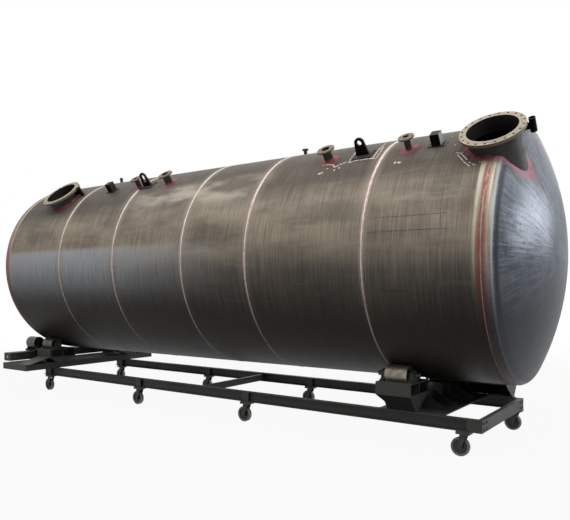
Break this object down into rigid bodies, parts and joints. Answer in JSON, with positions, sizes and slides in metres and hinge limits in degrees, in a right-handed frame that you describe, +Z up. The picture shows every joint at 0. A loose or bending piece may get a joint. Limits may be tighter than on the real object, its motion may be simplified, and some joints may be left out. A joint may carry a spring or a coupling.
{
  "type": "storage tank",
  "caption": "Horizontal steel storage tank with dished heads, manways, pipe nozzles and lifting lugs, lying on turning rollers on a caster-wheeled stand.",
  "frame": {"origin": "centre of the footprint box, on the floor", "axes": "+X along the tank towards the head that has a manway across its seam, +Z up, -Y the side the fittings lean towards"},
  "size_m": [9.1448, 2.9999, 3.8195],
  "materials": {
    "shell_plate": "mill scale, dull",
    "head_plate": "ground, satin",
    "flange_steel": "bare, lightly rusted",
    "black_steel": "scale, matte",
    "roller_steel": "worn bare",
    "wheel_iron": "worn",
    "bearing_iron": "painted, matte",
    "caster_steel": "matte",
    "stand_paint": "worn matte paint"
  },
  "bodies": {
    "stand": {"near_rail": "stand_paint", "far_rail": "stand_paint", "right_end_beam": "stand_paint", "mid_cross_beam": "stand_paint", "right_cradle": "stand_paint", "right_pedestals": "stand_paint", "left_base": "stand_paint", "left_pedestals": "stand_paint", "left_upper_beam": "stand_paint", "left_braces": "stand_paint", "right_bearings": "bearing_iron", "left_bearings": "bearing_iron", "outer_bearings": "bearing_iron", "caster_plates": "caster_steel"},
    "tank": {"shell_course_1": "shell_plate", "shell_course_2": "shell_plate", "shell_course_3": "shell_plate", "shell_course_4": "shell_plate", "shell_course_5": "shell_plate", "shell_course_6": "shell_plate", "left_head": "head_plate", "right_head": "head_plate", "right_manway": "flange_steel", "left_manway": "flange_steel", "davit_sockets": "flange_steel", "large_nozzle_right": "flange_steel", "large_nozzle_left": "flange_steel", "small_nozzle_right": "flange_steel", "small_nozzle_left": "flange_steel", "right_lifting_lug": "black_steel", "left_lifting_lug": "black_steel", "right_cleat": "black_steel", "left_cleat": "black_steel", "top_vent": "flange_steel", "top_plug": "flange_steel"},
    "right_near_roller": {"right_near_roller": "roller_steel"},
    "right_far_roller": {"right_far_roller": "roller_steel"},
    "left_near_roller": {"left_near_roller": "roller_steel"},
    "left_far_roller": {"left_far_roller": "roller_steel"},
    "outer_near_roller": {"outer_near_roller": "roller_steel"},
    "outer_far_roller": {"outer_far_roller": "roller_steel"},
    "near_caster_fork_1": {"near_caster_fork_1": "caster_steel"},
    "near_caster_wheel_1": {"near_caster_wheel_1": "wheel_iron"},
    "near_caster_fork_2": {"near_caster_fork_2": "caster_steel"},
    "near_caster_wheel_2": {"near_caster_wheel_2": "wheel_iron"},
    "near_caster_fork_3": {"near_caster_fork_3": "caster_steel"},
    "near_caster_wheel_3": {"near_caster_wheel_3": "wheel_iron"},
    "near_caster_fork_4": {"near_caster_fork_4": "caster_steel"},
    "near_caster_wheel_4": {"near_caster_wheel_4": "wheel_iron"},
    "far_caster_fork_1": {"far_caster_fork_1": "caster_steel"},
    "far_caster_wheel_1": {"far_caster_wheel_1": "wheel_iron"},
    "far_caster_fork_2": {"far_caster_fork_2": "caster_steel"},
    "far_caster_wheel_2": {"far_caster_wheel_2": "wheel_iron"},
    "far_caster_fork_3": {"far_caster_fork_3": "caster_steel"},
    "far_caster_wheel_3": {"far_caster_wheel_3": "wheel_iron"},
    "far_caster_fork_4": {"far_caster_fork_4": "caster_steel"},
    "far_caster_wheel_4": {"far_caster_wheel_4": "wheel_iron"}
  },
  "joints": [
    {"name": "tank_turn", "type": "hinge", "parent": "stand", "child": "tank", "pos_m": [0, 0, 2.2283], "axis": [1, 0, 0], "range_deg": [-170, 90]},
    {"name": "right_near_roller_spin", "type": "hinge", "parent": "stand", "child": "right_near_roller", "pos_m": [2.9745, -0.82937, 0.848], "axis": [1, 0, 0], "continuous": true},
    {"name": "right_far_roller_spin", "type": "hinge", "parent": "stand", "child": "right_far_roller", "pos_m": [2.9745, 0.82937, 0.848], "axis": [1, 0, 0], "continuous": true},
    {"name": "left_near_roller_spin", "type": "hinge", "parent": "stand", "child": "left_near_roller", "pos_m": [-3.8445, -0.82937, 0.848], "axis": [1, 0, 0], "continuous": true},
    {"name": "left_far_roller_spin", "type": "hinge", "parent": "stand", "child": "left_far_roller", "pos_m": [-3.8445, 0.82937, 0.848], "axis": [1, 0, 0], "continuous": true},
    {"name": "outer_near_roller_spin", "type": "hinge", "parent": "stand", "child": "outer_near_roller", "pos_m": [-4.3695, -0.82937, 0.848], "axis": [1, 0, 0], "continuous": true},
    {"name": "outer_far_roller_spin", "type": "hinge", "parent": "stand", "child": "outer_far_roller", "pos_m": [-4.3695, 0.82937, 0.848], "axis": [1, 0, 0], "continuous": true},
    {"name": "near_caster_swivel_1", "type": "hinge", "parent": "stand", "child": "near_caster_fork_1", "pos_m": [3.7435, -0.808, 0.252], "axis": [0, 0, 1], "continuous": true},
    {"name": "near_caster_spin_1", "type": "hinge", "parent": "near_caster_fork_1", "child": "near_caster_wheel_1", "pos_m": [3.7035, -0.808, 0.106], "axis": [0, 1, 0], "continuous": true},
    {"name": "near_caster_swivel_2", "type": "hinge", "parent": "stand", "child": "near_caster_fork_2", "pos_m": [0.6745, -0.808, 0.252], "axis": [0, 0, 1], "continuous": true},
    {"name": "near_caster_spin_2", "type": "hinge", "parent": "near_caster_fork_2", "child": "near_caster_wheel_2", "pos_m": [0.6345, -0.808, 0.106], "axis": [0, 1, 0], "continuous": true},
    {"name": "near_caster_swivel_3", "type": "hinge", "parent": "stand", "child": "near_caster_fork_3", "pos_m": [-1.5265, -0.808, 0.252], "axis": [0, 0, 1], "continuous": true},
    {"name": "near_caster_spin_3", "type": "hinge", "parent": "near_caster_fork_3", "child": "near_caster_wheel_3", "pos_m": [-1.5665, -0.808, 0.106], "axis": [0, 1, 0], "continuous": true},
    {"name": "near_caster_swivel_4", "type": "hinge", "parent": "stand", "child": "near_caster_fork_4", "pos_m": [-3.9185, -0.808, 0.252], "axis": [0, 0, 1], "continuous": true},
    {"name": "near_caster_spin_4", "type": "hinge", "parent": "near_caster_fork_4", "child": "near_caster_wheel_4", "pos_m": [-3.9585, -0.808, 0.106], "axis": [0, 1, 0], "continuous": true},
    {"name": "far_caster_swivel_1", "type": "hinge", "parent": "stand", "child": "far_caster_fork_1", "pos_m": [3.8735, 0.808, 0.252], "axis": [0, 0, 1], "continuous": true},
    {"name": "far_caster_spin_1", "type": "hinge", "parent": "far_caster_fork_1", "child": "far_caster_wheel_1", "pos_m": [3.8335, 0.808, 0.106], "axis": [0, 1, 0], "continuous": true},
    {"name": "far_caster_swivel_2", "type": "hinge", "parent": "stand", "child": "far_caster_fork_2", "pos_m": [0.6745, 0.808, 0.252], "axis": [0, 0, 1], "continuous": true},
    {"name": "far_caster_spin_2", "type": "hinge", "parent": "far_caster_fork_2", "child": "far_caster_wheel_2", "pos_m": [0.6345, 0.808, 0.106], "axis": [0, 1, 0], "continuous": true},
    {"name": "far_caster_swivel_3", "type": "hinge", "parent": "stand", "child": "far_caster_fork_3", "pos_m": [-1.5265, 0.808, 0.252], "axis": [0, 0, 1], "continuous": true},
    {"name": "far_caster_spin_3", "type": "hinge", "parent": "far_caster_fork_3", "child": "far_caster_wheel_3", "pos_m": [-1.5665, 0.808, 0.106], "axis": [0, 1, 0], "continuous": true},
    {"name": "far_caster_swivel_4", "type": "hinge", "parent": "stand", "child": "far_caster_fork_4", "pos_m": [-3.9185, 0.808, 0.252], "axis": [0, 0, 1], "continuous": true},
    {"name": "far_caster_spin_4", "type": "hinge", "parent": "far_caster_fork_4", "child": "far_caster_wheel_4", "pos_m": [-3.9585, 0.808, 0.106], "axis": [0, 1, 0], "continuous": true}
  ],
  "couplings": [
    {"joint": "right_near_roller_spin", "follows": "tank_turn", "ratio": -13.636},
    {"joint": "right_far_roller_spin", "follows": "tank_turn", "ratio": -13.636},
    {"joint": "left_near_roller_spin", "follows": "tank_turn", "ratio": -13.636},
    {"joint": "left_far_roller_spin", "follows": "tank_turn", "ratio": -13.636}
  ]
}
